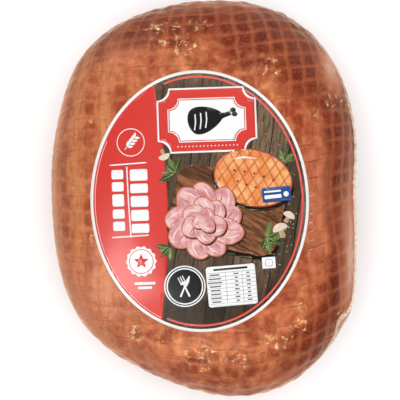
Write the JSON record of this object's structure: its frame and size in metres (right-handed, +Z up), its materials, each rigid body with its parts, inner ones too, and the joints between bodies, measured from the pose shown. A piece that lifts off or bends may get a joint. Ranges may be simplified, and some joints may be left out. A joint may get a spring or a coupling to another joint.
{
  "type": "glazed ham",
  "caption": "Whole boneless glazed ham, net-marked and shrink-wrapped in clear film, with a large oval label on its upper side.",
  "frame": {"origin": "on the surface that the ham lies on, under the middle of its bounding box", "axes": "+Z up, out of the labelled side; +Y along the ham, towards the top of the label; +X across the ham"},
  "size_m": [0.223, 0.29, 0.1227],
  "materials": {
    "glazed_meat": "browned, net-marked meat under tight clear film",
    "label_print": "glossy coated label with printed fields"
  },
  "bodies": {
    "root": {"ham_in_film": "glazed_meat", "label": "label_print"}
  },
  "joints": []
}
